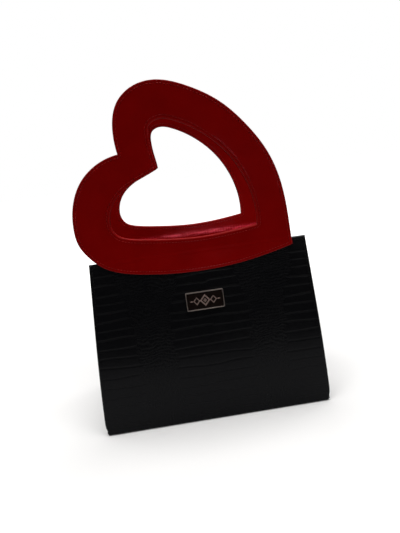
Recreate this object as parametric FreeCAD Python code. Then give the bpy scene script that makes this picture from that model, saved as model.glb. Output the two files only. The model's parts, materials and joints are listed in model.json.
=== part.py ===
import FreeCAD, Part
import math
import os

# An open topped handbag: a flared black body and two upright red heart handles.
# Millimetres. x runs across the front, y from front to back, z up from the floor.

# Body, over its outer faces
mouth_width = 220.0
foot_width = 248.0
mouth_height = 186.0
mouth_depth = 92.0
foot_depth = 118.0

# Layers of the walls, the base and the handles
skin = 1.2
wall_board = 1.2
lining = 0.6
base_board = 1.5
red_leather = 1.1
heart_core = 3.0

# Heart handles: size of the heart, and how far it reaches below the mouth edge
heart_width = 213.0
heart_height = 182.0
heart_offset = -10.5
apron_drop = 21.0

# Hand hole through each heart, with its sill above the mouth edge
hole_width = 143.0
hole_height = 114.5
hole_offset = -9.7
hole_sill = 13.2

# Fold lines: the crease between wall and heart, and the fold at the foot
crease_gap = 1.0
crease_clearance = 0.3
foot_clearance = 0.45
floor_clearance = 0.3
base_lining_setback = 2.0

# Folding side panels
gusset_inset = 2.0
gusset_drop = 14.0
gusset_fold = 34.0
seam_clearance = 0.3

# Metal plate on the front panel
badge_width = 39.0
badge_height = 19.5
badge_drop = 52.0
badge_thickness = 1.8
badge_back = 0.6
badge_rim = 1.4
badge_corner = 1.2
inlay_thickness = 0.8
inlay_clearance = 0.1
prong_width = 3.0
prong_thickness = 0.6
prong_spacing = 26.0
prong_clearance = 0.1
washer_width = 34.0
washer_height = 9.0
washer_thickness = 0.5

# Outline of the heart, from the cleft over the top to the tip, then back underneath.
# Shares of the width from its middle, and of the height from its lowest point.
heart_top_shares = [
    (-0.249, 0.670), (-0.253, 0.780), (-0.218, 0.912), (-0.143, 0.981), (-0.049, 1.000),
    (0.087, 0.956), (0.218, 0.868), (0.331, 0.736), (0.416, 0.588), (0.467, 0.418),
    (0.488, 0.253), (0.500, 0.077),
]
heart_bottom_shares = [
    (0.500, 0.077), (0.397, 0.047), (0.247, 0.015), (0.021, 0.000), (-0.204, 0.020),
    (-0.326, 0.050), (-0.401, 0.091), (-0.458, 0.159), (-0.492, 0.231), (-0.500, 0.313),
    (-0.481, 0.445), (-0.430, 0.555), (-0.354, 0.629), (-0.249, 0.670),
]
hole_top_shares = [
    (-0.137, 0.612), (-0.151, 0.741), (-0.160, 0.863), (-0.142, 0.966), (-0.079, 1.000),
    (0.006, 0.979), (0.181, 0.859), (0.327, 0.690), (0.433, 0.479), (0.492, 0.243),
    (0.500, 0.042),
]
hole_bottom_shares = [
    (0.500, 0.042), (0.358, 0.019), (0.068, 0.000), (-0.247, 0.033), (-0.394, 0.064),
    (-0.464, 0.102), (-0.498, 0.173), (-0.498, 0.265), (-0.460, 0.376), (-0.366, 0.482),
    (-0.247, 0.554), (-0.137, 0.612),
]

# Places that follow from the sizes above
wall_thickness = skin + wall_board + lining
crease_bead = heart_core / 2 - crease_clearance
crease_rise = crease_bead + crease_clearance
crease_y = mouth_depth / 2 - red_leather - heart_core / 2
crease_z = mouth_height + crease_rise
foot_bead = wall_thickness / 2
foot_y = foot_depth / 2 - foot_bead
foot_z = floor_clearance + foot_bead
wall_lean = math.atan2(foot_y - crease_y, crease_z - foot_z)
wall_length = math.hypot(foot_y - crease_y, crease_z - foot_z)
base_half_depth = foot_y - foot_bead - foot_clearance
base_half_width = foot_width / 2 - gusset_inset
reach = foot_width + heart_width + heart_height + mouth_height


def vec(x, y, z):
    return FreeCAD.Vector(x, y, z)


def slab(x0, x1, y0, y1, z0, z1):
    return Part.makeBox(x1 - x0, y1 - y0, z1 - z0, vec(x0, y0, z0))


def plate(wire, y0, y1):
    face = Part.Face(wire)
    face.translate(vec(0, y0, 0))
    return face.extrude(vec(0, y1 - y0, 0))


def polygon(points):
    corners = [vec(x, 0, z) for x, z in points]
    return Part.makePolygon(corners + corners[:1])


def above(z):
    return slab(-reach, reach, -reach, reach, z, reach)


def below(z):
    return slab(-reach, reach, -reach, reach, -reach, z)


# Parts of a wall and its heart are drawn upright, with the crease along the x axis.
# The wall then leans about the crease, and both move to their place on the front.
def place_heart(shape):
    return shape.translated(vec(0, -crease_y, crease_z))


def place_wall(shape):
    return place_heart(shape.rotated(vec(0, 0, 0), vec(1, 0, 0), -math.degrees(wall_lean)))


def to_back(shape):
    return shape.mirror(vec(0, 0, 0), vec(0, 1, 0))


# An outline is two smooth stretches that meet at the cleft and the tip, drawn clockwise
def spline(points):
    curve = Part.BSplineCurve()
    curve.interpolate(points)
    return curve


def outward(curve, point):
    along = curve.tangent(curve.parameter(point))[0]
    return vec(-along.z, 0, along.x)


def grown_stretches(stretches, amount):
    curves = [spline(points) for points in stretches]
    normals = [[outward(c, p) for p in points] for c, points in zip(curves, stretches)]
    moved = []
    for points, own, other in zip(stretches, normals, reversed(normals)):
        own = list(own)
        own[0] = (own[0] + other[-1]) / (1 + own[0].dot(other[-1]))
        own[-1] = (own[-1] + other[0]) / (1 + own[-1].dot(other[0]))
        moved.append([p + n * amount for p, n in zip(points, own)])
    return moved


def outline(tables, width, height, offset, low, grow):
    stretches = []
    for shares in tables:
        stretches.append([vec(offset + x * width, 0, low + z * height) for x, z in shares])
    if grow:
        stretches = grown_stretches(stretches, grow)
    return Part.Wire([spline(points).toShape() for points in stretches])


def heart_wire(grow):
    low = -crease_rise - apron_drop
    tables = [heart_top_shares, heart_bottom_shares]
    return outline(tables, heart_width, heart_height, heart_offset, low, grow)


def hole_wire(grow):
    low = -crease_rise + hole_sill
    tables = [hole_top_shares, hole_bottom_shares]
    return outline(tables, hole_width, hole_height, hole_offset, low, grow)


def ring(outer, hole, y0, y1):
    return plate(outer, y0, y1).cut(plate(hole, y0, y1))


# The lower half of a round bar along x, centred at height z
def half_round(half_length, radius, z):
    left = vec(-half_length, -radius, z)
    right = vec(-half_length, radius, z)
    bottom = Part.Arc(left, vec(-half_length, 0, z - radius), right).toShape()
    profile = Part.Wire([bottom, Part.makeLine(right, left)])
    return Part.Face(profile).extrude(vec(2 * half_length, 0, 0))


# Heart handle: a stiff core between two leathers, the outer one turned over its edges
def heart_core_solid():
    outer = heart_wire(-red_leather)
    half = heart_core / 2
    body = ring(outer, hole_wire(red_leather), -half, half).common(above(crease_gap / 2))
    neck = slab(-heart_width, heart_width, -crease_bead, crease_bead, 0, crease_gap / 2)
    bead = half_round(heart_width, crease_bead, 0)
    whole = plate(outer, -half, half)
    return body.fuse([neck.common(whole), bead.common(whole)]).removeSplitter()


def heart_outer_face():
    half = heart_core / 2
    shell = ring(heart_wire(0), hole_wire(0), -half - red_leather, half)
    pocket = ring(heart_wire(-red_leather), hole_wire(red_leather), -half, half)
    return shell.cut(pocket).common(above(crease_gap / 2))


def heart_inner_face():
    half = heart_core / 2
    face = ring(heart_wire(0), hole_wire(0), half, half + red_leather)
    return face.common(above(crease_gap / 2))


# The same leathers carry on below the crease as aprons, on the wall's two faces
def outer_apron():
    half = wall_thickness / 2
    return plate(heart_wire(0), -half - red_leather, -half).common(below(-crease_gap / 2))


def inner_apron():
    half = wall_thickness / 2
    return plate(heart_wire(0), half, half + red_leather).common(below(-crease_gap / 2))


# Wall: a leather panel turned over the board's edges, with the lining laid in
def wall_outline(inset):
    top = -crease_rise - inset
    foot_half = foot_width / 2 - inset
    mouth_half = mouth_width / 2 - inset
    return polygon([
        (-foot_half, -wall_length), (foot_half, -wall_length), (mouth_half, top), (-mouth_half, top),
    ])


def wall_board_solid():
    front = -wall_thickness / 2 + skin
    return plate(wall_outline(skin), front, front + wall_board)


def wall_lining_solid():
    back = wall_thickness / 2
    return plate(wall_outline(skin), back - lining, back)


def wall_panel():
    half = wall_thickness / 2
    body = plate(wall_outline(0), -half, half)
    pocket = plate(wall_outline(skin), skin - half, half)
    foot = half_round(foot_width / 2, foot_bead, -wall_length)
    return body.cut(pocket).fuse(foot).removeSplitter()


# Metal plate: a rim round a dark inlay, held by prongs through the panel and the board
def badge_plate(width, height, corner, y0, y1):
    z = -crease_rise - badge_drop
    block = slab(-width / 2, width / 2, y0, y1, z - height / 2, z + height / 2)
    upright = [e for e in block.Edges if abs(e.tangentAt(e.FirstParameter).y) > 1 - 1e-6]
    return block.makeFillet(corner, upright)


def prongs(clearance, y0, y1):
    z = -crease_rise - badge_drop
    bars = []
    for side in (-1, 1):
        x = side * prong_spacing / 2
        half_wide = prong_thickness / 2 + clearance
        half_tall = prong_width / 2 + clearance
        bars.append(slab(x - half_wide, x + half_wide, y0, y1, z - half_tall, z + half_tall))
    return Part.makeCompound(bars)


def badge_frame():
    seat = -wall_thickness / 2
    front = seat - badge_thickness
    block = badge_plate(badge_width, badge_height, badge_corner, front, seat)
    inner_width = badge_width - 2 * badge_rim
    inner_height = badge_height - 2 * badge_rim
    pocket = badge_plate(inner_width, inner_height, badge_corner, front, seat - badge_back)
    tips = prongs(0, seat, seat + skin + wall_board)
    return block.cut(pocket).fuse(tips.Solids).removeSplitter()


def badge_inlay():
    back = -wall_thickness / 2 - badge_back
    width = badge_width - 2 * badge_rim - 2 * inlay_clearance
    height = badge_height - 2 * badge_rim - 2 * inlay_clearance
    return badge_plate(width, height, badge_corner, back - inlay_thickness, back)


def washer_blank():
    back = wall_thickness / 2 - lining
    return badge_plate(washer_width, washer_height, badge_corner, back - washer_thickness, back)


def badge_holes():
    return prongs(prong_clearance, -wall_thickness, wall_thickness / 2 - lining)


# Base: three flat layers between the two foot folds
def base_layer(inset, setback, z0, z1):
    half_x = base_half_width - inset
    half_y = base_half_depth - setback
    return slab(-half_x, half_x, -half_y, half_y, z0, z1)


# Folding side panel: flat at the foot, folded inwards more and more towards the top
def body_half_width(z):
    share = (z - foot_z) / (mouth_height - foot_z)
    return foot_width / 2 + share * (mouth_width - foot_width) / 2


def wall_inner_y(z):
    return foot_y - (z - foot_z) * math.tan(wall_lean) - wall_thickness / 2 / math.cos(wall_lean)


def gusset_section(z, fold, depth0, depth1):
    edge = body_half_width(z) - gusset_inset
    half = wall_inner_y(z) - seam_clearance
    near = [(edge - depth0, -half), (edge - depth0 - fold, 0), (edge - depth0, half)]
    far = [(edge - depth1, half), (edge - depth1 - fold, 0), (edge - depth1, -half)]
    corners = [vec(x, y, z) for x, y in near + far]
    return Part.makePolygon(corners + corners[:1])


def gusset(depth0, depth1):
    low = gusset_section(skin, 0, depth0, depth1)
    high = gusset_section(mouth_height - gusset_drop, gusset_fold, depth0, depth1)
    return Part.makeLoft([low, high], True, True)


def to_left(shape):
    return shape.mirror(vec(0, 0, 0), vec(1, 0, 0))


# All the pieces, by name
pieces = {}

pieces["base_panel"] = base_layer(0, 0, 0, skin)
board_inset = skin + lining + seam_clearance
pieces["base_board"] = base_layer(board_inset, 0, skin, skin + base_board)
base_top = skin + base_board
pieces["base_lining"] = base_layer(board_inset, base_lining_setback, base_top, base_top + lining)

pieces["right_gusset"] = gusset(0, skin)
pieces["right_gusset_lining"] = gusset(skin, skin + lining)
pieces["left_gusset"] = to_left(pieces["right_gusset"])
pieces["left_gusset_lining"] = to_left(pieces["right_gusset_lining"])

plain_wall = {
    "panel": wall_panel(),
    "board": wall_board_solid(),
    "lining": wall_lining_solid(),
    "apron": outer_apron(),
    "inner_apron": inner_apron(),
}
for name, shape in plain_wall.items():
    pieces["back_" + name] = to_back(place_wall(shape))

holes = badge_holes().Solids
washer = washer_blank()
badge_wall = dict(plain_wall)
badge_wall["panel"] = plain_wall["panel"].cut(holes)
badge_wall["board"] = plain_wall["board"].cut([washer] + holes)
for name, shape in badge_wall.items():
    pieces["front_" + name] = place_wall(shape)
pieces["badge_frame"] = place_wall(badge_frame())
pieces["badge_inlay"] = place_wall(badge_inlay())
pieces["badge_washer"] = place_wall(washer.cut(holes))

heart = {
    "heart_core": heart_core_solid(),
    "heart_outer_face": heart_outer_face(),
    "heart_inner_face": heart_inner_face(),
}
for name, shape in heart.items():
    pieces["front_" + name] = place_heart(shape)
    pieces["back_" + name] = to_back(place_heart(shape))

os.makedirs("parts", exist_ok=True)
for name, shape in pieces.items():
    solids = shape.Solids
    whole = solids[0] if len(solids) == 1 else Part.makeCompound(solids)
    whole.exportStep(os.path.join("parts", name + ".step"))
    box = whole.BoundBox
    print(name, len(solids), whole.isValid(), round(whole.Volume, 1),
          [round(v, 2) for v in (box.XMin, box.XMax, box.YMin, box.YMax, box.ZMin, box.ZMax)])
print("hinge", round(foot_y, 4), round(foot_z, 4), "crease", round(crease_y, 4), round(crease_z, 4),
      "lean", round(math.degrees(wall_lean), 4), "length", round(wall_length, 4))
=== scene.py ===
import json
import math
from functools import partial

import bmesh
import bpy
import numpy as np
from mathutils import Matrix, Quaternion, Vector
from mathutils.geometry import delaunay_2d_cdt
from mathutils.kdtree import KDTree

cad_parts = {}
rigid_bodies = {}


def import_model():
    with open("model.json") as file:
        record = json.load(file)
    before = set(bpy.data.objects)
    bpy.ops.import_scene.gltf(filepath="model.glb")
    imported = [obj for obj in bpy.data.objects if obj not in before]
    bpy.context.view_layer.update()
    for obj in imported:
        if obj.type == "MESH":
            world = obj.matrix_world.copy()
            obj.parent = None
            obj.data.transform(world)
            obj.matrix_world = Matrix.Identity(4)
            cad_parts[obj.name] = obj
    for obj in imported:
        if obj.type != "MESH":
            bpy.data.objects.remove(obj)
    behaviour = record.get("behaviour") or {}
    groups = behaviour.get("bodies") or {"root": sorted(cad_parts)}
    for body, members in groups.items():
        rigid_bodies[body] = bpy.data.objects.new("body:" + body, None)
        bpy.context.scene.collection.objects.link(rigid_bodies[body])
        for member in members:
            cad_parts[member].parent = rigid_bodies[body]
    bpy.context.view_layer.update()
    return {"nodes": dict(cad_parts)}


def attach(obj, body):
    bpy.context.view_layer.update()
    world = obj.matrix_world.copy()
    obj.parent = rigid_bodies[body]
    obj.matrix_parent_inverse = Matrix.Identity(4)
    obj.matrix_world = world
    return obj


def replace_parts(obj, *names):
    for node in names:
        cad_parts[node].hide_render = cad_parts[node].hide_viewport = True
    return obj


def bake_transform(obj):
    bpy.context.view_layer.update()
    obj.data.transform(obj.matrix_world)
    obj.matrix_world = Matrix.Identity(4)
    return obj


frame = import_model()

mm = 0.001
scene = bpy.context.scene

# Sizes in millimetres that several pieces share. A wall and its heart are drawn upright about
# the crease between them, with the outside towards -y, and then put in place by toRow.
bag = dict(
    mouthHalf=110.0, footHalf=124.0, mouthHeight=186.0,
    creaseY=43.4, creaseZ=187.5, creaseRise=1.5,
    footY=57.5, footZ=1.8, lean=4.3421, wallLength=186.2345,
    wallHalf=1.5, skin=1.2, lining=0.6,
)
wallTop = bag["wallLength"] - bag["creaseRise"]  # the wall's length from its foot fold
frontSide, backSide = -1, 1


def flaredHalf(share):  # half width of the body at this share of its height
    return bag["footHalf"] + (bag["mouthHalf"] - bag["footHalf"]) * share


def ease(t):
    t = np.clip(t, 0.0, 1.0)
    return t * t * (3.0 - 2.0 * t)


def bell(distance, width):
    return np.exp(-(distance / width) ** 2)


def rounding(edge, radius):  # how far a rounded edge has dropped at this distance from it
    inside = np.clip(radius - edge, 0.0, radius)
    return radius - np.sqrt(radius * radius - inside * inside)


def waves(x, z, seed, size):  # soft unevenness from nine seeded sines, mostly within -1 to 1
    total = 0.0
    for turn, pace, start in np.random.default_rng(seed).uniform(0.0, 1.0, (9, 3)):
        along = x * np.cos(2 * np.pi * turn) + z * np.sin(2 * np.pi * turn)
        total = total + np.sin(2 * np.pi * (along * (0.6 + pace) / size + start))
    return total / 3.0


def toRow(points, side, wallShare=1.0):  # wallShare is 1 on the leaning wall and 0 on the upright heart
    lean = math.radians(bag["lean"]) * wallShare
    x, y, z = np.asarray(points, float).T
    turnedY = y * np.cos(lean) + z * np.sin(lean) - bag["creaseY"]
    turnedZ = z * np.cos(lean) - y * np.sin(lean) + bag["creaseZ"]
    return np.column_stack([x, -side * turnedY, turnedZ]) * mm


def pointRows(x, y, z):
    return np.column_stack([v.ravel() for v in np.broadcast_arrays(x, y, z)])


def addObject(name, data):
    thing = bpy.data.objects.new(name, data)
    scene.collection.objects.link(thing)
    return thing


def makePiece(name, points, faces, material, sharp=45.0):
    mesh = bpy.data.meshes.new(name)
    mesh.from_pydata(np.asarray(points, float).tolist(), [], faces)
    work = bmesh.new()
    work.from_mesh(mesh)
    bmesh.ops.recalc_face_normals(work, faces=work.faces)
    if work.calc_volume(signed=True) < 0:
        bmesh.ops.reverse_faces(work, faces=work.faces)
    work.to_mesh(mesh)
    work.free()
    mesh.shade_smooth()
    mesh.set_sharp_from_angle(angle=math.radians(sharp))
    mesh.materials.append(material)
    return addObject(name, mesh)


def gridFaces(rows, cols, first=0):
    corner = first + (np.arange(rows - 1)[:, None] * cols + np.arange(cols - 1)).ravel()
    return np.column_stack([corner, corner + 1, corner + cols + 1, corner + cols]).tolist()


def gridRim(rows, cols, first=0):  # vertex numbers round a grid: foot, right, top, left
    k = first + np.arange(rows * cols).reshape(rows, cols)
    return np.concatenate([k[0, :-1], k[:-1, -1], k[-1, :0:-1], k[:0:-1, 0]]).tolist()


def bandFaces(loopA, loopB):
    n = len(loopA)
    return [[loopA[i], loopA[(i + 1) % n], loopB[(i + 1) % n], loopB[i]] for i in range(n)]


def closedSheet(name, points, shape, material):  # two layers of one grid, joined round their rim
    second = shape[0] * shape[1]
    faces = gridFaces(*shape) + gridFaces(*shape, second)
    faces += bandFaces(gridRim(*shape), gridRim(*shape, second))
    return makePiece(name, points, faces, material)


def addShade(piece, name, values):  # a value per vertex that a material reads, 0 past the first layer
    shade = np.zeros(len(piece.data.vertices), np.float32)
    shade[:np.size(values)] = np.ravel(values)
    piece.data.attributes.new(name, "FLOAT", "POINT").data.foreach_set("value", shade)


# Materials

def linearColour(hexText):
    shares = [int(hexText[k:k + 2], 16) / 255 for k in (1, 3, 5)]
    return [s / 12.92 if s <= 0.04045 else ((s + 0.055) / 1.055) ** 2.4 for s in shares] + [1.0]


def setNode(tree, node, values=(), links=()):  # a link comes from a socket, or from a node's first output
    for key, value in dict(values).items():
        node.inputs[key].default_value = value
    for key, source in dict(links).items():
        tree.links.new(source.outputs[0] if hasattr(source, "outputs") else source, node.inputs[key])
    return node


def addNode(tree, kind, values=(), links=(), stops=(), **settings):  # shader kinds without their prefix
    node = tree.nodes.new(kind if "Node" in kind else "ShaderNode" + kind)
    for key, value in settings.items():
        setattr(node, key, value)
    for k, (at, hexText) in enumerate(stops):  # the two ends of a colour ramp
        stop = node.color_ramp.elements[k]
        stop.position, stop.color = at, linearColour(hexText)
    return setNode(tree, node, values, links)


def newMaterial(name):  # also what adds its nodes, and a link to the place on the object
    material = bpy.data.materials.new(name)
    material.use_nodes = True
    add = partial(addNode, material.node_tree)
    return material, add, dict(Vector=add("TexCoord").outputs["Object"])


def setShader(material, values, colour=None, gloss=None, bump=None, glow=None):
    links = {"Base Color": colour, "Roughness": gloss, "Normal": bump, "Emission Strength": glow}
    links = {key: source for key, source in links.items() if source is not None}
    setNode(material.node_tree, material.node_tree.nodes["Principled BSDF"], values, links)
    return material


def sized(size, **more):  # a texture's values for a pattern of this size in millimetres
    return dict(Scale=1.0 / (size * mm), **more)


def smoothRedLeather():  # dyed calf with a thin finish: even deep red, soft red gloss, and a painted highlight, paler and pinker, along the inner crease
    s = dict(deep="#7a0302", bright="#860403", paintedCreaseHighlight="#c83241", shine="#ff95a6",
             mottle=26.0, pore=0.9, crease=5.0, poreShare=0.35, depth=0.06)
    material, add, place = newMaterial("smoothRedCalf")
    mottle = add("TexNoise", sized(s["mottle"], Detail=4.0), place)
    colour = add("ValToRGB", links=dict(Fac=mottle), stops=((0.25, s["deep"]), (0.8, s["bright"])))
    # the inner leather's crease is painted paler and pinker here: a painted highlight
    paintedCreaseHighlight = add("Attribute", attribute_name="paintedCreaseHighlight").outputs["Fac"]
    shown = add("Mix", {7: linearColour(s["paintedCreaseHighlight"])}, {0: paintedCreaseHighlight, 6: colour}, data_type="RGBA")
    pore = add("TexVoronoi", sized(s["pore"]), place)
    wrinkle = add("TexNoise", sized(s["crease"], Detail=6.0), place)
    relief = add("Math", {1: s["poreShare"]}, {0: pore, 2: wrinkle}, operation="MULTIPLY_ADD")
    bump = add("Bump", dict(Strength=0.12, Distance=s["depth"] * mm), dict(Height=relief))
    gloss = add("MapRange", {"To Min": 0.15, "To Max": 0.25}, dict(Value=wrinkle))
    return setShader(material, {"Specular IOR Level": 0.26, "Specular Tint": linearColour(s["shine"])},
                     shown.outputs[2], gloss, bump)


def embossedBlackLeather():  # plated calf: polished scale tops, matt grooves between them, painted a little darker as shade
    s = dict(top="#0b0b0d", groove="#070708", fleck=9.0, pore=0.55, depth=0.06)
    material, add, place = newMaterial("embossedBlackCalf")
    groove = add("Attribute", attribute_name="groove").outputs["Fac"]
    # the grooves are painted darker than the scale tops: painted shade
    colour = add("ValToRGB", links=dict(Fac=groove), stops=((0.15, s["top"]), (0.9, s["groove"])))
    fleck = add("TexNoise", sized(s["fleck"], Detail=5.0), place)
    pore = add("TexNoise", sized(s["pore"], Detail=3.0), place)
    tops = add("Math", {1: 0.14, 2: 0.17}, {0: fleck}, operation="MULTIPLY_ADD")
    gloss = add("Math", {1: 0.25}, {0: groove, 2: tops}, operation="MULTIPLY_ADD")
    bump = add("Bump", dict(Strength=0.3, Distance=s["depth"] * mm), dict(Height=pore))
    return setShader(material, {"Specular IOR Level": 0.17}, colour, gloss, bump)


def cottonTwill():  # dyed lining cloth: slanting ribs, dull; ribs drawn 0.9 mm wide so that they show
    s = dict(high="#26201f", low="#0f0c0c", rib=0.9, slub=4.0, slant=(0.5, 0.6, 0.8), depth=0.15)
    material, add, place = newMaterial("cottonTwill")
    slant = add("Mapping", dict(Rotation=s["slant"]), place)
    rib = add("TexWave", sized(s["rib"] * 2 * math.pi, Distortion=0.4, Detail=2.0), dict(Vector=slant))
    rib = rib.outputs["Fac"]
    slub = add("TexNoise", sized(s["slub"], Detail=3.0), place)
    mix = add("Math", {1: 0.4}, {0: slub, 2: rib}, operation="MULTIPLY_ADD")
    colour = add("ValToRGB", links=dict(Fac=mix), stops=((0.1, s["low"]), (1.0, s["high"])))
    bump = add("Bump", dict(Strength=0.5, Distance=s["depth"] * mm), dict(Height=rib))
    return setShader(material, {"Roughness": 0.85, "Sheen Weight": 0.1, "Sheen Roughness": 0.5}, colour,
                     bump=bump)


def twistedThread(name, hexText):  # waxed polyester thread: two plies with painted shade in the hollows between them, a slight shine
    s = dict(ply=0.5, hollow=0.6, depth=0.1)
    material, add, place = newMaterial(name)
    ply = add("TexWave", sized(s["ply"] * 2 * math.pi, Distortion=1.0), place, bands_direction="DIAGONAL")
    ply = ply.outputs["Fac"]
    high = linearColour(hexText)
    # the hollows between the plies are painted darker: painted shade
    low = [c * s["hollow"] for c in high[:3]] + [1.0]
    colour = add("Mix", {6: high, 7: low}, {0: ply}, data_type="RGBA")
    bump = add("Bump", dict(Strength=0.4, Distance=s["depth"] * mm), dict(Height=ply))
    return setShader(material, {"Roughness": 0.6, "Specular IOR Level": 0.15}, colour.outputs[2], bump=bump)


def metalFinish(name, hexText, rough, grain):  # rolled metal: fine scratches show as uneven gloss
    s = dict(stretch=(0.15, 1.0, 1.0), least=0.6, most=1.5, depth=0.03)
    material, add, place = newMaterial(name)
    drawn = add("Mapping", dict(Scale=s["stretch"]), place)
    scratch = add("TexNoise", sized(grain, Detail=6.0), dict(Vector=drawn))
    gloss = add("MapRange", {"To Min": s["least"] * rough, "To Max": s["most"] * rough},
                dict(Value=scratch))
    bump = add("Bump", dict(Strength=0.15, Distance=s["depth"] * mm), dict(Height=scratch))
    values = {"Metallic": 1.0, "Base Color": linearColour(hexText)}
    return setShader(material, values, gloss=gloss, bump=bump)


def mottledSolid(name, lowHex, highHex, size, rough, depth, shine=0.5):  # two close tones in fine specks
    s = dict(least=0.9, most=1.1)
    material, add, place = newMaterial(name)
    speck = add("TexNoise", sized(size, Detail=6.0), place)
    colour = add("ValToRGB", links=dict(Fac=speck), stops=((0.3, lowHex), (0.7, highHex)))
    gloss = add("MapRange", {"To Min": s["least"] * rough, "To Max": s["most"] * rough}, dict(Value=speck))
    bump = add("Bump", dict(Strength=0.3, Distance=depth * mm), dict(Height=speck))
    return setShader(material, {"Specular IOR Level": shine}, colour, gloss, bump)


redLeather = smoothRedLeather()
blackLeather = embossedBlackLeather()
liningCloth = cottonTwill()
redThread = twistedThread("redThread", "#980d0b")
blackThread = twistedThread("blackThread", "#121010")
rimNickel = metalFinish("polishedNickel", "#c2b2aa", 0.3, 0.7)  # bright plating, a little warm
ornamentNickel = metalFinish("satinNickel", "#a68f87", 0.5, 0.7)  # brushed plating, softer
washerSteel = metalFinish("zincedSteel", "#9a9c9e", 0.4, 0.5)  # thin zinc, grey
edgeDye = mottledSolid("dyedLeatherEdge", "#7e0504", "#8a0605", 2.0, 0.5, 0.03, 0.1)  # painted, matt
plateEnamel = mottledSolid("brownBlackEnamel", "#0d0604", "#170b07", 3.0, 0.22, 0.005)  # fired, glossy
fibreBoard = mottledSolid("pressedFibreBoard", "#211d1a", "#322b26", 1.6, 0.9, 0.08)  # pressed fibres, dull
print("materials ready")


# Embossed scale pattern: wide plates in three columns, whose rows run on into nets of small scales

croc = dict(
    rowTop=172.5, rowPitch=8.8, rowGrow=0.09, rowWobble=0.7, wobbleSize=26.0, wobbleStretch=0.4,
    leftNet=(-78.0, -36.0), rightNet=(43.0, 83.0), netSpread=11.0, spreadFrom=125.0, spreadOver=35.0,
    netFade=3.0, netEdge=1.6, netEdgeSize=14.0, netEdgeStretch=0.6,
    midSplit=5.0, splitStep=0.7, splitWidth=1.5, splitSize=24.0, splitDepth=0.05, splitSway=0.4,
    netRows=3, netCell=3.5, netWave=0.2, netWaveSize=9.0, netArch=0.5, netArchSize=40.0,
    cutJitter=0.35, cutShare=1.3, footAcross=0.5,
    plateGroove=0.7, netGroove=0.6, plateDepth=0.25, netDepth=0.19, netShade=0.5, crown=0.06,
    footShare=0.38, footFrom=50.0, footOver=50.0, seed=7,
)


def scatter(i, j, seed):  # a fixed random share for each cell
    value = np.sin(i * 12.9898 + j * 78.233 + seed * 37.719) * 43758.5453
    return value - np.floor(value)


def netGrooves(x, row, cell, rowHeight, seed, acrossShare):  # wavy rows, cut into scales by short lines
    j = np.floor(row)
    u = x / cell + scatter(j, 3, seed)
    i = np.round(u)
    rowEdge = np.abs(row - np.round(row)) * rowHeight
    cutEdge = np.abs(u - i - croc["cutJitter"] * (scatter(i, j, seed) - 0.5)) * cell
    across, cut = bell(rowEdge, croc["netGroove"]), bell(cutEdge, croc["netGroove"])
    return np.maximum(across * acrossShare, cut * (croc["cutShare"] - acrossShare))


def crocPanel(x, z, seed):  # relief in millimetres and how deep in a groove each point is
    s = croc
    wobble = s["rowWobble"] * waves(x * s["wobbleStretch"], z, s["seed"] + seed, s["wobbleSize"])
    split = np.tanh((x - s["midSplit"]) / s["splitWidth"]) * waves(0 * x, z, seed + 9, s["splitSize"])
    wobble = wobble + s["splitStep"] * split
    row = np.sqrt(s["rowPitch"] ** 2 + 4 * s["rowGrow"] * (s["rowTop"] - z - wobble))
    row = (row - s["rowPitch"]) / (2 * s["rowGrow"])
    pitch = s["rowPitch"] + 2 * s["rowGrow"] * row
    shift = s["netEdge"] * waves(x, z * s["netEdgeStretch"], s["seed"] + seed + 1, s["netEdgeSize"])
    spread = s["netSpread"] * ease((z - s["spreadFrom"]) / s["spreadOver"])
    net = np.zeros(x.shape)
    for low, high in (s["leftNet"], s["rightNet"]):
        within = np.minimum(x - low + spread - shift, high + spread + shift - x)
        net = np.maximum(net, ease(within / s["netFade"]))
    high = ease((z - s["footFrom"]) / s["footOver"])
    deep = s["footShare"] + (1 - s["footShare"]) * high
    plateLine = bell(np.abs(row - np.round(row)) * pitch, s["plateGroove"])
    splitLine = bell(x - s["midSplit"] + s["splitSway"] * shift, s["plateGroove"])
    splitLine = splitLine * s["splitDepth"] / s["plateDepth"]
    plateLine = np.maximum(plateLine, splitLine) * (1 - net)
    bent = s["netWave"] * waves(x, z, s["seed"] + seed + 4, s["netWaveSize"])
    bent = bent + s["netArch"] * waves(x, z, seed + 6, s["netArchSize"])
    across = s["footAcross"] + (1 - s["footAcross"]) * high
    small = netGrooves(x, row * s["netRows"] + bent * net, s["netCell"], pitch / s["netRows"], seed, across)
    small = small * net
    relief = s["crown"] * (1 - net) - deep * (s["plateDepth"] * plateLine + s["netDepth"] * small)
    return relief, np.maximum(plateLine, s["netShade"] * small) * deep


sideNet = dict(sway=0.8, swaySize=18.0, lift=0.9, liftSize=15.0, acrossShare=0.8)


def crocNet(x, z, seed, cell, rowHeight):  # small scales all over, for the sides and the base
    s = sideNet
    x = x + s["sway"] * waves(x, z, seed, s["swaySize"])
    z = z + s["lift"] * waves(x, z, seed + 1, s["liftSize"])
    line = netGrooves(x, z / rowHeight, cell, rowHeight, seed, s["acrossShare"])
    return croc["crown"] - croc["netDepth"] * line, line


# Front and back panels: leather turned over the edges of a board, with rolled sides

panel = dict(
    spacing=0.65, plateSpacing=1.3, netBand=(0.2, 0.86), footTurn=(90.0, 67.0, 45.0, 22.0),
    edgeInsets=(0.0, 0.12, 0.4, 0.85, 1.4, 2.0), edgeRound=1.9, arcShare=0.7, sharp=60.0,
    bow=1.3, bowShape=0.7, tuck=2.0, tuckOver=6.0, belly=0.5, bellyFrom=0.35, bellyOver=70.0,
    uneven=0.12, unevenSize=60.0, fadeFrom=1.5, fadeOver=2.5, footFade=4.0, plainTop=5.0, plainOver=5.0,
    backInsets=(0.0, 0.5, 1.2, 1.2), footInsets=(0.35, 1.0, 2.7, 2.7), backLevels=(0.95, 1.45, 1.5, -0.28),
)


def panelHalf(h):  # half width at this height up the wall, bowed out a little, corners tucked in
    s, share = panel, np.clip(h / wallTop, 0, 1)
    bow = s["bow"] * np.sin(np.pi * share ** s["bowShape"])
    return flaredHalf(share) + bow - s["tuck"] * bell(h, s["tuckOver"])


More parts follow.
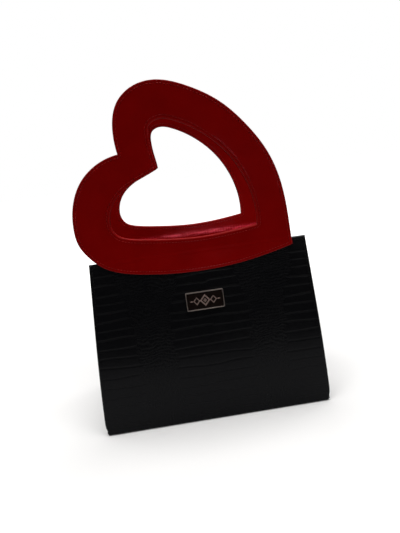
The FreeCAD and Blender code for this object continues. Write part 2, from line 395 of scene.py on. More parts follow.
def panelGrid():
    s, half = panel, bag["wallHalf"]
    turn = np.radians(s["footTurn"])
    insets = np.array(s["edgeInsets"])
    straight = np.arange(0.0, wallTop - insets[-1] - s["spacing"] / 2, s["spacing"])
    h = np.concatenate([-half * np.sin(turn), straight, wallTop - insets[::-1]])
    outY = np.concatenate([-np.cos(turn), -np.ones(len(h) - len(turn))])
    outH = np.concatenate([-np.sin(turn), np.zeros(len(h) - len(turn))])
    low, high = s["netBand"]
    bands, middle = (-1, -high, -low, low, high, 1), []
    for k, (start, end) in enumerate(zip(bands, bands[1:])):
        gap = s["spacing"] if k % 2 else s["plateSpacing"]
        middle += np.linspace(start, end, round((end - start) * bag["mouthHalf"] / gap) + 1)[:-1].tolist()
    middle = np.array(middle + [1.0])
    x = []
    for halfWide in panelHalf(h):
        inner = halfWide - insets[-1] - s["spacing"]
        x.append(np.concatenate([insets - halfWide, middle * inner, halfWide - insets[::-1]]))
    return np.array(x), h, outY, outH


def makePanel(name, side, seed):
    s, half = panel, bag["wallHalf"]
    x, h, outY, outH = panelGrid()
    rows, cols = x.shape
    hh = np.repeat(h[:, None], cols, 1)
    topGap = wallTop - hh
    edge = np.minimum(panelHalf(hh) - np.abs(x), topGap)
    relief, groove = crocPanel(-side * x, hh + bag["footZ"], seed)
    fade = ease((edge - s["fadeFrom"]) / s["fadeOver"]) * ease(hh / s["footFade"])
    fade = fade * ease((topGap - s["plainTop"]) / s["plainOver"])
    drop = rounding(np.maximum(edge, 0), s["edgeRound"])
    belly = ease(topGap / s["bellyOver"] - s["bellyFrom"]) * np.sin(np.pi * np.clip(hh / wallTop, 0, 1))
    out = half + relief * fade - drop + s["belly"] * belly
    out = out + s["uneven"] * waves(x, hh, seed, s["unevenSize"]) * fade
    onArc = (outH < 0)[:, None]
    arc = half - drop * s["arcShare"]
    y = np.where(onArc, outY[:, None] * arc, -out)
    up = np.where(onArc, outH[:, None] * arc, hh)
    points = [pointRows(x, y, up)]
    faces = gridFaces(rows, cols)
    rim = gridRim(rows, cols)
    rimX, rimH = x.ravel()[rim], up.ravel()[rim]
    row, col = np.divmod(rim, cols)
    onFoot, onTop = row == 0, row == rows - 1
    outward = (col == cols - 1) * 1.0 - (col == 0) * 1.0
    lastLoop = rim
    for inset, footInset, level in zip(s["backInsets"], s["footInsets"], s["backLevels"]):
        loopX = rimX - inset * outward
        loopH = rimH + footInset * onFoot - inset * onTop
        first = sum(len(p) for p in points)
        points.append(pointRows(loopX, level, loopH))
        loop = list(range(first, first + len(rim)))
        faces += bandFaces(lastLoop, loop)
        lastLoop = loop
    faces.append(lastLoop)
    points = np.vstack(points)
    points[:, 2] -= bag["wallLength"]
    piece = makePiece(name, toRow(points, side), faces, blackLeather, s["sharp"])
    addShade(piece, "groove", groove * fade)
    return piece


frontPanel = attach(makePanel("frontPanel", frontSide, 3), "front_wall")
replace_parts(frontPanel, "front_panel")
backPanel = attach(makePanel("backPanel", backSide, 5), "back_wall")
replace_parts(backPanel, "back_panel")
print("panels:", len(frontPanel.data.vertices), "points each")


# Wall linings: cloth laid into the panels

wallLining = dict(
    spacing=5.0, columns=50, inset=1.3, footInset=3.2, slack=0.12, slackSize=45.0, slackOver=15.0, gap=0.02,
)


def makeWallLining(name, side, seed):
    s = wallLining
    h = np.linspace(s["footInset"] - bag["wallHalf"], wallTop - s["inset"], round(wallTop / s["spacing"]))
    x = np.array([np.linspace(-1, 1, s["columns"]) * (panelHalf(v) - s["inset"]) for v in h])
    up = h[:, None]
    top = bag["wallHalf"] + s["slack"] * waves(x, up, seed, s["slackSize"]) * ease(up / s["slackOver"])
    low = bag["wallHalf"] - bag["lining"] + s["gap"]
    layers = [pointRows(x, y, up - bag["wallLength"]) for y in (top, low)]
    return closedSheet(name, toRow(np.vstack(layers), side), x.shape, liningCloth), h, x


for wall, side, seed in (("front", frontSide, 21), ("back", backSide, 22)):
    piece, h, x = makeWallLining(wall + "LiningCloth", side, seed)
    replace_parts(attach(piece, wall + "_wall"), wall + "_lining")
print("wall linings ready")


# Heart handles: outlines as in the CAD source, in shares of width and height

heartOutline = dict(
    width=213.0, height=182.0, offset=-10.5, low=-22.5,
    top=[(-0.249, 0.67), (-0.253, 0.78), (-0.218, 0.912), (-0.143, 0.981), (-0.049, 1.0),
         (0.087, 0.956), (0.218, 0.868), (0.331, 0.736), (0.416, 0.588), (0.467, 0.418),
         (0.488, 0.253), (0.5, 0.077)],
    bottom=[(0.5, 0.077), (0.397, 0.047), (0.247, 0.015), (0.021, 0.0), (-0.204, 0.02),
            (-0.326, 0.05), (-0.401, 0.091), (-0.458, 0.159), (-0.492, 0.231), (-0.5, 0.313),
            (-0.481, 0.445), (-0.43, 0.555), (-0.354, 0.629), (-0.249, 0.67)],
)
holeOutline = dict(
    width=143.0, height=114.5, offset=-9.7, low=11.7,
    top=[(-0.137, 0.612), (-0.151, 0.741), (-0.16, 0.863), (-0.142, 0.966), (-0.079, 1.0),
         (0.006, 0.979), (0.181, 0.859), (0.327, 0.69), (0.433, 0.479), (0.492, 0.243),
         (0.5, 0.042)],
    bottom=[(0.5, 0.042), (0.358, 0.019), (0.068, 0.0), (-0.247, 0.033), (-0.394, 0.064),
            (-0.464, 0.102), (-0.498, 0.173), (-0.498, 0.265), (-0.46, 0.376), (-0.366, 0.482),
            (-0.247, 0.554), (-0.137, 0.612)],
)
heart = dict(
    step=1.3, fineStep=0.12, fineCount=6000,
    insets=(0.3, 0.7, 1.05, 1.2, 1.6, 2.3, 2.7, 3.0, 3.3, 3.8, 4.8, 6.2), insetShare=0.08, insetSlack=0.02,
    merge=1e-4, grid=(2.4, 2.4), creaseZone=11.0, creaseGrid=(1.3, 0.45), clear=7.0, sharp=50.0,
    face=2.6, back=1.5, rim=1.1, edgeRound=0.6, apronRound=0.5, bend=1.5, turnGap=0.05, turnEnd=0.5,
    stitchInset=3.0, stitchGroove=0.09, stitchWidth=0.6,
    uneven=0.1, unevenSize=34.0, plainEdge=1.5, outerFade=4.0, innerFade=5.0,
    foldAt=-3.6, foldStep=0.14, foldWidth=0.8, foldSway=0.5, foldSize=50.0,
    ruckAt=-2.5, ruckHeight=1.6, ruckWidth=4.2, ruckLeast=0.85, ruckVary=0.15, ruckSize=38.0, frontRuck=0.2,
    wrinkle=0.04, wrinklePitch=2.6, wrinkleAt=0.8, wrinkleWidth=3.8, slip=0.8, slipSize=18.0,
    pucker=0.08, puckerSize=6.0, blendHalf=4.0,
)


def runAlong(points):  # length from the start of a line to each of its points
    return np.append(0.0, np.cumsum(np.linalg.norm(np.diff(points, axis=0), axis=1)))


def smoothThrough(points, step):  # one smooth line through the points, in equal steps
    p = np.array(points, float)
    t, n = runAlong(p), len(p)
    gap = np.diff(t)
    left, right = np.eye(n), np.zeros((n, 2))
    for end, few in ((0, slice(0, 4)), (n - 1, slice(n - 4, n))):
        right[end] = np.polyfit(t[few] - t[end], p[few], 3)[2]
    for i in range(1, n - 1):
        left[i, i - 1:i + 2] = 1 / gap[i - 1], 2 / gap[i - 1] + 2 / gap[i], 1 / gap[i]
        right[i] = 3 * ((p[i] - p[i - 1]) / gap[i - 1] ** 2 + (p[i + 1] - p[i]) / gap[i] ** 2)
    slope = np.linalg.solve(left, right)
    fine = np.linspace(0, t[-1], heart["fineCount"])
    k = np.clip(np.searchsorted(t, fine, "right") - 1, 0, n - 2)
    s, wide = ((fine - t[k]) / gap[k])[:, None], gap[k][:, None]
    line = (2 * s ** 3 - 3 * s ** 2 + 1) * p[k] + (s ** 3 - 2 * s ** 2 + s) * wide * slope[k]
    line += (3 * s ** 2 - 2 * s ** 3) * p[k + 1] + (s ** 3 - s ** 2) * wide * slope[k + 1]
    run = runAlong(line)
    at = np.linspace(0, run[-1], round(run[-1] / step) + 1)
    return np.column_stack([np.interp(at, run, line[:, c]) for c in (0, 1)])


def outlineLoop(s, step):
    parts = []
    for shares in (s["top"], s["bottom"]):
        points = [(s["offset"] + x * s["width"], s["low"] + z * s["height"]) for x, z in shares]
        parts.append(smoothThrough(points, step)[:-1])
    return np.vstack(parts)


def heartLoops(step):  # the heart's own edge and the hole's
    return outlineLoop(heartOutline, step), outlineLoop(holeOutline, step)


def inLoop(points, loop):
    x, z = points[:, :1], points[:, 1:]
    ax, az = loop[:, 0], loop[:, 1]
    bx, bz = np.roll(ax, -1), np.roll(az, -1)
    crosses = (az > z) != (bz > z)
    with np.errstate(divide="ignore", invalid="ignore"):
        at = ax + (z - az) / (bz - az) * (bx - ax)
    return (crosses & (x < at)).sum(1) % 2 == 1


def edgeFinder(loops):
    line = np.vstack(loops)
    tree = KDTree(len(line))
    for k, (x, z) in enumerate(line):
        tree.insert((x, z, 0.0), k)
    tree.balance()
    return lambda points: np.array([tree.find((x, z, 0.0))[2] for x, z in points])


def insetLoop(loop, inset, inward):
    along = np.roll(loop, -1, 0) - np.roll(loop, 1, 0)
    along /= np.linalg.norm(along, axis=1)[:, None]
    return loop + inward * inset * np.column_stack([along[:, 1], -along[:, 0]])


fineEdges = edgeFinder(heartLoops(heart["fineStep"]))
outerLoop, innerLoop = heartLoops(heart["step"])


def inHeart(points):
    return inLoop(points, outerLoop) & ~inLoop(points, innerLoop)


def heartSheet():  # the heart's face as flat triangles, finer at its edges and at the crease
    s = heart
    points, edges = [outerLoop, innerLoop], []
    for first, n in ((0, len(outerLoop)), (len(outerLoop), len(innerLoop))):
        edges += [(first + k, first + (k + 1) % n) for k in range(n)]
    for inset in s["insets"]:
        for loop, inward in ((outerLoop, 1), (innerLoop, -1)):
            ring = insetLoop(loop, inset, inward)
            slack = s["insetShare"] * inset + s["insetSlack"]
            points.append(ring[np.abs(fineEdges(ring) - inset) < slack])
    (lowX, lowZ), (highX, highZ), zone = outerLoop.min(0), outerLoop.max(0), s["creaseZone"]
    for (stepX, stepZ), low, high in ((s["grid"], zone, highZ), (s["grid"], lowZ, -zone),
                                      (s["creaseGrid"], -zone, zone)):
        gx, gz = np.meshgrid(np.arange(lowX, highX, stepX), np.arange(low, high, stepZ))
        gx = gx + 0.5 * stepX * (np.arange(len(gx)) % 2)[:, None]
        spots = np.column_stack([gx.ravel(), gz.ravel()])
        spots = spots[inHeart(spots)]
        points.append(spots[fineEdges(spots) > s["clear"]])
    flat = [Vector(p) for p in np.vstack(points)]
    flat, _, faces, *_ = delaunay_2d_cdt(flat, edges, [], 0, s["merge"])
    flat = np.array([tuple(p) for p in flat])
    faces = np.array([f for f in faces if len(f) == 3])
    faces = faces[inHeart(flat[faces].mean(1))]
    used, faces = np.unique(faces, return_inverse=True)
    return flat[used], faces.reshape(-1, 3)


sheetPoints, sheetFaces = heartSheet()
sheetEdge = fineEdges(sheetPoints)
print("heart sheet:", len(sheetPoints), "points,", len(sheetFaces), "triangles")


def wallShareAt(z):
    return ease((heart["bend"] - z) / (2 * heart["bend"]))


def sewnFace(x, z, edge, seed, fade):  # a face's level with its stitch groove, and how far in it is
    s = heart
    inside = ease((edge - s["plainEdge"]) / fade)
    groove = s["stitchGroove"] * bell(edge - s["stitchInset"], s["stitchWidth"])
    return s["face"] - groove + s["uneven"] * waves(x, z, seed, s["unevenSize"]) * inside, inside


def outerSurface(x, z, edge, seed):  # distance of the outer leather's face from the middle
    s = heart
    foldGap = s["foldAt"] + s["foldSway"] * waves(x, 0 * x, seed, s["foldSize"]) - z
    fold = s["foldStep"] * ease(foldGap / s["foldWidth"] + 0.5)
    level, inside = sewnFace(x, z, edge, seed + 1, s["outerFade"])
    radius = s["edgeRound"] + (s["apronRound"] - s["edgeRound"]) * wallShareAt(z)
    return level - fold * inside - rounding(edge, radius)


def innerSurface(x, z, edge, seed, side):  # the same for the inner leather, which rucks up at the crease
    s = heart
    level, inside = sewnFace(x, z, edge, seed, s["innerFade"])
    along = s["ruckLeast"] + s["ruckVary"] * np.clip(waves(x, 0 * x, seed + 2, s["ruckSize"]), -1, 1)
    bulge = s["ruckHeight"] * along * bell(z - s["ruckAt"], s["ruckWidth"])
    slip = z + s["slip"] * waves(x, z, seed + 5, s["slipSize"])
    small = s["wrinkle"] * np.sin(2 * np.pi * slip / s["wrinklePitch"])
    small = small + s["pucker"] * waves(x, z, seed + 8, s["puckerSize"])
    ruck = 1.0 if side == backSide else s["frontRuck"]
    level = level + ruck * (bulge + small * bell(z - s["wrinkleAt"], s["wrinkleWidth"])) * inside
    return level - rounding(edge, s["apronRound"])


# where the painted highlight lies along the crease, and how patchy it is
paintedHighlightLayout = dict(at=0.6, width=2.5, even=0.55, streak=0.35, streakSize=6.0, along=0.4, across=1.7,
           fleck=0.2, fleckSize=3.0, least=0.5, fromX=-70.0, overX=120.0)


def paintedHighlightShare(x, z, seed):  # strength of the painted highlight along the inner leather's crease: patchy, strongest to the right
    s = paintedHighlightLayout
    streak = s["streak"] * waves(s["along"] * x, s["across"] * z, seed + 8, s["streakSize"])
    patchy = s["even"] + streak + s["fleck"] * waves(x, z, seed + 9, s["fleckSize"])
    rightwards = s["least"] + (1 - s["least"]) * ease((x - s["fromX"]) / s["overX"])
    return np.clip(bell(z - s["at"], s["width"]) * patchy * rightwards, 0, 1)


def makeHeartLeather(name, side, outer, seed):
    s = heart
    x, z = sheetPoints.T
    if outer:
        face = -outerSurface(x, z, sheetEdge, seed)
        turned = s["back"] - s["turnGap"] - (2 * s["back"] - s["turnGap"]) * ease(s["turnEnd"] - z)
        back = np.where(sheetEdge < s["rim"], turned, -s["back"])
    else:
        face, back = innerSurface(x, z, sheetEdge, seed, side), s["back"]
    layers = [pointRows(x, y, z) for y in (face, back)]
    n = len(x)
    faces = sheetFaces.tolist() + (sheetFaces[:, ::-1] + n).tolist()
    sides = np.vstack([sheetFaces[:, ends] for ends in ([0, 1], [1, 2], [2, 0])])
    seen = set(map(tuple, sides.tolist()))
    faces += [[a, b, b + n, a + n] for a, b in seen if (b, a) not in seen]
    points = toRow(np.vstack(layers), side, np.tile(wallShareAt(z), 2))
    piece = makePiece(name, points, faces, redLeather, s["sharp"])
    piece.data.materials.append(edgeDye)
    atRim = [all(sheetEdge[k % n] < s["rim"] for k in face) for face in faces]
    piece.data.polygons.foreach_set("material_index", np.array(atRim, np.int32))
    if not outer:
        # a painted highlight along the inner leather's crease
        addShade(piece, "paintedCreaseHighlight", paintedHighlightShare(x, z, seed))
    return piece


def blendAtCrease(piece):
    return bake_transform(piece)


heartSides = (("front", frontSide, 31), ("back", backSide, 41))  # with seeds
innerSeed = 5  # added for the inner leather
for wall, side, seed in heartSides:
    outer = makeHeartLeather(wall + "HeartOuterLeather", side, True, seed)
    blendAtCrease(outer)
    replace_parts(outer, wall + "_heart_outer_face", wall + "_apron")
    inner = makeHeartLeather(wall + "HeartInnerLeather", side, False, seed + innerSeed)
    blendAtCrease(inner)
    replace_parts(inner, wall + "_heart_inner_face", wall + "_inner_apron")
print("heart leathers ready")


# Stitches: rows of short thread laid along paths by Geometry Nodes

stitch = dict(
    pitch=3.1, length=2.5, width=0.62, shortest=0.9, longest=1.08, seed=11, lift=0.06, pathStep=1.0,
    pathSlack=0.15,
)


def stitchTree():
    tree = bpy.data.node_groups.new("stitchRow", "GeometryNodeTree")
    tree.interface.new_socket("Path", in_out="INPUT", socket_type="NodeSocketGeometry")
    for name in ("Pitch", "Stitch length", "Thread width"):
        tree.interface.new_socket(name, in_out="INPUT", socket_type="NodeSocketFloat")
    tree.interface.new_socket("Thread", in_out="INPUT", socket_type="NodeSocketMaterial")
    tree.interface.new_socket("Stitches", in_out="OUTPUT", socket_type="NodeSocketGeometry")
    add = partial(addNode, tree)
    given = add("NodeGroupInput").outputs
    path = add("GeometryNodeMeshToCurve", links=dict(Mesh=given["Path"]))
    spaced = add("GeometryNodeResampleCurve", links=dict(Curve=path, Length=given["Pitch"]), mode="LENGTH")
    along = add("GeometryNodeInputTangent")
    turn = add("FunctionNodeAlignRotationToVector", links=dict(Vector=along), axis="X")
    uneven = add("FunctionNodeRandomValue",
                 {2: stitch["shortest"], 3: stitch["longest"], "Seed": stitch["seed"]}, data_type="FLOAT")
    length = add("Math", links={0: given["Stitch length"], 1: uneven.outputs[1]}, operation="MULTIPLY")
    width = given["Thread width"]
    size = add("CombineXYZ", links=dict(X=length, Y=width, Z=width))
    thread = add("GeometryNodeMeshUVSphere", dict(Segments=8, Rings=5, Radius=0.5))
    upright = add("GeometryNodeTransform", dict(Rotation=(0, math.pi / 2, 0)), dict(Geometry=thread))
    laid = add("GeometryNodeInstanceOnPoints",
               links=dict(Points=spaced, Instance=upright, Rotation=turn, Scale=size))
    real = add("GeometryNodeRealizeInstances", links=dict(Geometry=laid))
    smooth = add("GeometryNodeSetShadeSmooth", links=dict(Geometry=real))
    dyed = add("GeometryNodeSetMaterial", links=dict(Geometry=smooth, Material=given["Thread"]))
    add("NodeGroupOutput", links=dict(Stitches=dyed))
    return tree


stitchRow = stitchTree()


def makeStitches(name, paths, thread):  # paths are (points in the row frame, closed)
    points, edges = [], []
    for path, closed in paths:
        first, n = len(points), len(path)
        points += np.asarray(path).tolist()
        edges += [(first + k, first + k + 1) for k in range(n - 1)] + [(first + n - 1, first)] * closed
    guide = bpy.data.meshes.new(name + "Path")
    guide.from_pydata(points, edges, [])
    maker = addObject(name + "Path", guide)
    modifier = maker.modifiers.new("stitches", "NODES")
    modifier.node_group = stitchRow
    values = {"Pitch": stitch["pitch"] * mm, "Stitch length": stitch["length"] * mm,
              "Thread width": stitch["width"] * mm, "Thread": thread}
    for socket in stitchRow.interface.items_tree:
        if socket.in_out == "INPUT" and socket.name in values:
            modifier[socket.identifier] = values[socket.name]
    ready = maker.evaluated_get(bpy.context.evaluated_depsgraph_get())
    mesh = bpy.data.meshes.new_from_object(ready)
    mesh.name = name
    bpy.data.objects.remove(maker)
    return addObject(name, mesh)


def heartStitchPaths(side, outer, seed):
    inset, lift, paths = heart["stitchInset"], stitch["lift"], []
    for loop, inward in zip(heartLoops(stitch["pathStep"]), (1, -1)):
        line = insetLoop(loop, inset, inward)
        x, z = line[np.abs(fineEdges(line) - inset) < stitch["pathSlack"]].T
        edge = np.full(len(x), inset)
        if outer:
            y = -outerSurface(x, z, edge, seed) - lift
        else:
            y = innerSurface(x, z, edge, seed, side) + lift
        paths.append((toRow(pointRows(x, y, z), side, wallShareAt(z)), True))
    return paths


for wall, side, seed in heartSides:
    for word, outer, more in (("Outer", True, 0), ("Inner", False, innerSeed)):
        paths = heartStitchPaths(side, outer, seed + more)
        row = makeStitches(wall + "Heart" + word + "Stitches", paths, redThread)
        blendAtCrease(row)


panelStitch = dict(inset=3.4, lift=0.1, low=6.0, steps=180, reach=99.0, topSteps=8)


def panelStitchPaths(side):  # down both side edges, and along the bare stretches of the top edge
    s, paths = panelStitch, []
    h = np.linspace(s["low"], wallTop - s["inset"], s["steps"])
    for hand in (-1, 1):
        x = hand * (panelHalf(h) - s["inset"])
        topX = np.linspace(x[-1], hand * s["reach"], s["topSteps"])[1:]
        up = np.append(h, np.full(len(topX), h[-1])) - bag["wallLength"]
        line = pointRows(np.append(x, topX), -bag["wallHalf"] - s["lift"], up)
        paths.append((toRow(line, side), False))
    return paths


for wall, side in (("front", frontSide), ("back", backSide)):
    row = makeStitches(wall + "PanelStitches", panelStitchPaths(side), blackThread)
    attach(row, wall + "_wall")
print("stitches ready")


# Folding side panels: each is two leaves that meet at the inward fold

gusset = dict(
    low=6.5, foldFrom=1.2, high=172.0, fold=34.0, inset=2.0, seam=0.03, foldSoft=0.06, leafWidth=56.0,
    tuckIn=1.3, tuckFrom=9.0, tuckOver=16.0, belly=1.6, seamFade=4.0, topFade=6.0, foldFade=3.0,
    cell=5.0, rowHeight=4.6, skinSeed=51, liningSeed=57, spacing=0.95, liningSpacing=3.0, liningGap=0.03,
    blendY=42.8,
)


def gussetLeaf(name, hand, side, depths, spacing, material, seed):
    s = gusset
    q = np.linspace(0, 1, round(s["leafWidth"] / spacing))  # 0 at the fold, 1 at the wall
    z = np.linspace(s["low"], s["high"], round((s["high"] - s["low"]) / spacing))
    q, z = np.meshgrid(q, z)
    t = (z - s["foldFrom"]) / (s["high"] - s["foldFrom"])
    wide = flaredHalf((z - bag["footZ"]) / (bag["mouthHeight"] - bag["footZ"])) - s["inset"]
    lean = math.radians(bag["lean"])
    deep = bag["footY"] - (z - bag["footZ"]) * math.tan(lean) - bag["wallHalf"] / math.cos(lean) - s["seam"]
    soft = s["foldSoft"]
    leg = 1 - (np.sqrt(q * q + soft * soft) - soft) / (math.sqrt(1 + soft * soft) - soft)
    x = wide - s["fold"] * t * leg - s["tuckIn"] * (1 - ease((z - s["tuckFrom"]) / s["tuckOver"]))
    x = x + s["belly"] * np.sin(np.pi * t) * 4 * q * (1 - q)
    relief, groove = crocNet(q * s["leafWidth"], z, seed, s["cell"], s["rowHeight"])
    fade = ease((1 - q) * s["leafWidth"] / s["seamFade"]) * ease((s["high"] - z) / s["topFade"])
    fade = fade * ease(q * s["leafWidth"] / s["foldFade"])
    layers = [pointRows(hand * (x - depth + lift), side * q * deep, z)
              for depth, lift in zip(depths, (relief * fade, 0.0))]
    piece = closedSheet(name, np.vstack(layers) * mm, q.shape, material)
    addShade(piece, "groove", groove * fade)
    return piece, sum(f.area for f in piece.data.polygons) / 2


for hand, handWord in ((-1, "left"), (1, "right")):
    for side, wall in ((frontSide, "front"), (backSide, "back")):
        name = handWord + wall.capitalize()
        skin, _ = gussetLeaf(name + "Gusset", hand, side, (0.0, bag["skin"]), gusset["spacing"],
                             blackLeather, gusset["skinSeed"] + hand)
        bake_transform(skin)
        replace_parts(skin, handWord + "_gusset")
        cloth, area = gussetLeaf(name + "GussetLining", hand, side,
                                 (bag["skin"] + gusset["liningGap"], bag["skin"] + bag["lining"]),
                                 gusset["liningSpacing"], liningCloth, gusset["liningSeed"])
        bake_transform(cloth)
        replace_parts(cloth, handWord + "_gusset_lining")
print("side panels ready")


# Base: a leather tray with its two ends turned up outside the side panels

base = dict(
    halfX=121.6, halfY=55.4, turnUp=11.0, riseSteps=8, bend=4.0, bendSteps=7, thick=1.2, spacing=1.1,
    edgeRound=0.9, edgeInsets=(0.0, 0.15, 0.45, 0.9), flatInset=1.8,
    cutFrom=1.6, cutSlope=0.31,  # the turned-up ends are cut back so that the walls fold past them
    cell=7.0, rowHeight=6.0, seed=61, fadeFrom=0.8, fadeOver=3.0,
)


def trayProfile():  # across the bag: place and outward direction
    s = base
    flatHalf = s["halfX"] - s["bend"]
    left = [(-s["halfX"], z, -1.0, 0.0) for z in np.linspace(s["turnUp"], s["bend"], s["riseSteps"])[:-1]]
    for a in np.radians(np.linspace(0, 90, s["bendSteps"])):
        nx, nz = -math.cos(a), -math.sin(a)
        left.append((s["bend"] * nx - flatHalf, s["bend"] * nz + s["bend"], nx, nz))
    flat = np.linspace(-flatHalf, flatHalf, round(2 * flatHalf / s["spacing"]))[1:-1]
    right = [(-x, z, -nx, nz) for x, z, nx, nz in reversed(left)]
    return np.array(left + [(x, 0.0, 0.0, -1.0) for x in flat] + right)


def makeTray():
    s = base
    profile = trayProfile()
    (x, z, nx, nz), run = profile.T, runAlong(profile[:, :2])
    insets = np.array(s["edgeInsets"])
    flat = np.linspace(-1, 1, round(2 * s["halfY"] / s["spacing"])) * (s["halfY"] - s["flatInset"])
    y = np.concatenate([insets - s["halfY"], flat, s["halfY"] - insets[::-1]])
    yy, rr = np.meshgrid(y, run, indexing="ij")
    yy = yy * (1 - np.maximum(z - s["cutFrom"], 0) * s["cutSlope"] / s["halfY"])
    relief, groove = crocNet(rr, yy, s["seed"], s["cell"], s["rowHeight"])
    edge = np.minimum(s["halfY"] - np.abs(y)[:, None], np.minimum(rr, run[-1] - rr))
    fade = ease((edge - s["fadeFrom"]) / s["fadeOver"])
    out = (relief - croc["crown"]) * fade - rounding(np.maximum(edge, 0), s["edgeRound"])
    layers = [pointRows(x + nx * away, yy, z + nz * away) for away in (out, -s["thick"])]
    piece = closedSheet("baseTray", np.vstack(layers) * mm, yy.shape, blackLeather)
    addShade(piece, "groove", groove * fade)
    return piece


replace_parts(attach(makeTray(), "base"), "base_panel")

baseCloth = dict(
    halfX=119.0, halfY=55.0, low=2.72, high=3.3, edge=2.5, edgeHigh=2.85, slack=0.1, slackSize=50.0,
    seed=71, edgeShares=(0.97, 0.985, 1.0), flatShare=0.95, flatRows=21, columns=49,
)


def makeBaseLining():
    s = baseCloth
    ends, flat = np.array(s["edgeShares"]), np.linspace(-s["flatShare"], s["flatShare"], s["flatRows"])
    across = np.concatenate([-ends[::-1], flat, ends])
    x, y = np.meshgrid(np.linspace(-1, 1, s["columns"]) * s["halfX"], across * s["halfY"])
    rise = s["high"] - s["edgeHigh"] + s["slack"] * waves(x, y, s["seed"], s["slackSize"])
    top = s["edgeHigh"] + rise * ease((s["halfY"] - np.abs(y)) / s["edge"])
    layers = [pointRows(x, y, z) for z in (top, s["low"])]
    return closedSheet("baseLiningCloth", np.vstack(layers) * mm, x.shape, liningCloth)


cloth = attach(makeBaseLining(), "base")
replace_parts(cloth, "base_lining")
print("base ready")


# Metal plate: a rounded rim, a dark field, and a plain ornament of lozenges and bars

plate = dict(
    width=39.0, height=19.5, corner=1.2, leastCorner=0.3, cornerSteps=6, drop=53.5, sharp=30.0,
    rim=((0.0, 0.0), (0.0, 1.45), (0.1, 1.68), (0.3, 1.8), (0.6, 1.8), (0.8, 1.7), (0.95, 1.4),
         (0.95, 0.6)),
    field=((1.05, 0.6), (1.05, 1.15), (1.25, 1.32), (2.4, 1.38), (5.0, 1.4)),  # insets and levels
    ring=((1.0, 1.3), (1.0, 1.47), (0.94, 1.62), (0.72, 1.62), (0.66, 1.47), (0.66, 1.3)),
    solid=((1.0, 1.3), (1.0, 1.47), (0.55, 1.62)),  # shares of the size and levels
    ornament=((0.0, 5.4, 6.4, "ring"), (-8.6, 3.6, 4.4, "ring"), (8.6, 3.6, 4.4, "ring"),
              (0.0, 1.9, 2.4, "solid"), (-14.0, 1.9, 0.8, "solid"), (14.0, 1.9, 0.8, "solid")),
    ornamentSharp=20.0,
)


def plateLoop(inset):
    s = plate
    corner = max(s["corner"] - inset, s["leastCorner"])
    halfX, halfZ = s["width"] / 2 - inset - corner, s["height"] / 2 - inset - corner
    loop = []
    for cx, cz, start in ((1, 1, 0), (-1, 1, 90), (-1, -1, 180), (1, -1, 270)):
        for a in np.radians(start + np.linspace(0, 90, s["cornerSteps"])):
            loop.append((cx * halfX + corner * math.cos(a), cz * halfZ + corner * math.sin(a)))
    return np.array(loop)


def stackLoops(loops, levels, ring=False):  # closed form from loops of equal count, capped unless a ring
    points, faces, n = [], [], len(loops[0])
    rows = [list(range(k * n, (k + 1) * n)) for k in range(len(loops))]
    for k, (loop, level) in enumerate(zip(loops, levels)):
        points.append(pointRows(loop[:, 0], -bag["wallHalf"] - level, loop[:, 1] - plate["drop"]))
        if k:
            faces += bandFaces(rows[k - 1], rows[k])
    faces += bandFaces(rows[-1], rows[0]) if ring else [rows[0][::-1], rows[-1]]
    return np.vstack(points), faces


def makePlatePart(name, profile, material):
    points, faces = stackLoops([plateLoop(i) for i, _ in profile], [level for _, level in profile])
    piece = makePiece(name, toRow(points, frontSide), faces, material, plate["sharp"])
    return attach(piece, "front_wall")


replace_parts(makePlatePart("plateRim", plate["rim"], rimNickel), "badge_frame")
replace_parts(makePlatePart("plateField", plate["field"], plateEnamel), "badge_inlay")


def makeOrnament():  # open lozenges with a small one inside the middle, and a bar at each end
    s, points, faces = plate, [], []
    for x, halfX, halfZ, form in s["ornament"]:
        loop = np.array([(0, halfZ), (-halfX, 0), (0, -halfZ), (halfX, 0)])
        loops = [(x, 0.0) + loop * share for share, _ in s[form]]
        more, moreFaces = stackLoops(loops, [level for _, level in s[form]], form == "ring")
        faces += [[k + sum(len(p) for p in points) for k in f] for f in moreFaces]
        points.append(more)
    points = toRow(np.vstack(points), frontSide)
    return makePiece("plateOrnament", points, faces, ornamentNickel, s["ornamentSharp"])


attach(makeOrnament(), "front_wall")
print("plate ready")


# CAD nodes that stay: stiffeners and the washer, all inside the layers

hidden = ("front_board", "back_board", "base_board", "front_heart_core", "back_heart_core", "badge_washer")
for name in hidden:
    node = frame["nodes"][name]
    node.data.materials.clear()
    node.data.materials.append(washerSteel if name == "badge_washer" else fibreBoard)


# Floor, light and camera

studio = dict(
    half=6.0, near=-0.27, behind=0.25, white="#ecebea", mirrored="#9d9d9e", glowFrom=0.25, glowTo=1.0,
    air="#ffffff", airLight=0.015,
)


def seamlessPaper():  # white paper: lit up evenly out to the horizon, and dim in the leather's gloss
    s = studio
    material, add, place = newMaterial("seamlessPaper")
    ray = add("LightPath").outputs
    away = add("VectorMath", links={0: place["Vector"]}, operation="LENGTH").outputs["Value"]
    glow = add("MapRange", {"From Min": s["glowFrom"], "From Max": s["glowTo"]}, dict(Value=away))
    glow = add("Math", links={0: glow, 1: ray["Is Camera Ray"]}, operation="MULTIPLY")
    colour = add("Mix", {6: linearColour(s["white"]), 7: linearColour(s["mirrored"])},
                 {0: ray["Is Glossy Ray"]}, data_type="RGBA")
    values = {"Roughness": 0.95, "Specular IOR Level": 0.1, "Emission Color": linearColour(s["air"])}
    return setShader(material, values, colour.outputs[2], glow=glow)


paper = seamlessPaper()


def makePaper(name, front, back, inGloss, inDiffuse):  # the leather mirrors only the stretch under the bag
    half = studio["half"]
    corners = [(-half, front, 0), (half, front, 0), (half, back, 0), (-half, back, 0)]
    mesh = bpy.data.meshes.new(name)
    mesh.from_pydata(corners, [], [(0, 1, 2, 3)])
    mesh.materials.append(paper)
    stretch = addObject(name, mesh)
    stretch.visible_glossy, stretch.visible_diffuse = inGloss, inDiffuse


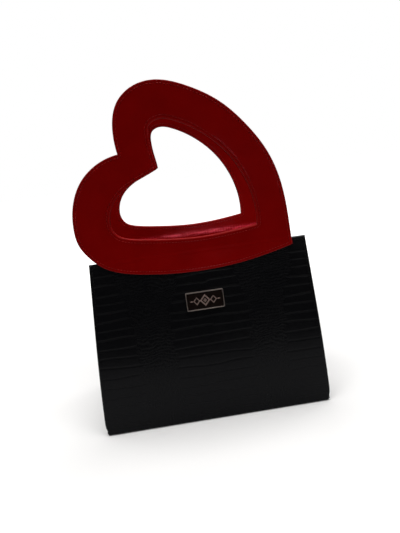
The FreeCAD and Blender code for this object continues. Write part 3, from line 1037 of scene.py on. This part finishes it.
makePaper("paperFront", -studio["half"], studio["near"], False, False)
makePaper("paperFloor", studio["near"], studio["behind"], True, True)
makePaper("paperBack", studio["behind"], studio["half"], False, True)

# Two soft lamps fill from the sides of the lens, one from behind and a wide one from above. The flash only
# glints in bent leather. The glint and the bounce light the bend of the back heart, seen through the hole.
lamps = dict(
    fillLeft=dict(at=(-0.5, -0.6, 0.335), wide=0.25, watts=0.67),
    fillRight=dict(at=(0.5, -0.6, 0.335), wide=0.25, watts=0.67),
    rear=dict(at=(0.1, 0.75, 0.5), wide=0.4, watts=0.9, glossy=False),
    flash=dict(at=(0.042, -0.436, 0.226), look=(0.0, 0.0, 0.22), wide=0.06, watts=0.03, diffuse=False),
    glint=dict(at=(0.008, -0.02, 0.22), look=(0.008, 0.041, 0.19), wide=0.09, deep=0.03, watts=0.04,
               diffuse=False, only="backHeartInnerLeather"),
    bounce=dict(at=(0.02, -0.035, 0.196), look=(0.02, 0.041, 0.188), wide=0.09, deep=0.02, watts=0.018,
                glossy=False, only="backHeartInnerLeather"),
    overhead=dict(at=(0.0, -0.02, 1.5), look=(0.0, -0.02, 0.0), wide=1.4, deep=0.9, watts=32.0),
)
bagMiddle = (0.0, 0.0, 0.2)
for name, s in lamps.items():
    light = bpy.data.lights.new(name, "AREA")
    light.shape, light.energy = "RECTANGLE", s["watts"]
    light.size, light.size_y = s["wide"], s.get("deep", s["wide"])
    lamp = addObject(name, light)
    lamp.location = s["at"]
    towards = Vector(s.get("look", bagMiddle)) - Vector(s["at"])
    lamp.rotation_euler = towards.to_track_quat("-Z", "Y").to_euler()
    lamp.visible_camera = False
    lamp.visible_glossy = s.get("glossy", True)
    lamp.visible_diffuse = s.get("diffuse", True)
    if "only" in s:  # a lamp for one piece
        lit = bpy.data.collections.new(name + "Receiver")
        lit.objects.link(bpy.data.objects[s["only"]])
        lamp.light_linking.receiver_collection = lit

world = bpy.data.worlds.new("studio")
world.use_nodes = True
scene.world, tree = world, world.node_tree
seen = addNode(tree, "LightPath").outputs["Is Camera Ray"]  # white to look at, dim as light
glow = addNode(tree, "MapRange", {"To Min": studio["airLight"], "To Max": 1.0}, dict(Value=seen))
setNode(tree, tree.nodes["Background"], dict(Color=linearColour(studio["air"])), dict(Strength=glow))
scene.view_settings.view_transform = "Standard"

photo = dict(at=(-0.0222, -0.4363, 0.2741), forward=(0.0534, 0.9643, -0.2591), roll=-7.37,
             focalPixels=400.0, longSide=533.0, sensor=36.0, nearClip=0.01)
lens = bpy.data.cameras.new("photoCamera")
lens.sensor_width = photo["sensor"]
lens.lens = photo["sensor"] * photo["focalPixels"] / photo["longSide"]
lens.clip_start = photo["nearClip"]
camera = addObject("photoCamera", lens)
camera.location = photo["at"]
level = Vector(photo["forward"]).to_track_quat("-Z", "Y")
camera.rotation_euler = (level @ Quaternion((0, 0, 1), math.radians(photo["roll"]))).to_euler()
scene.camera = camera
print("studio ready")
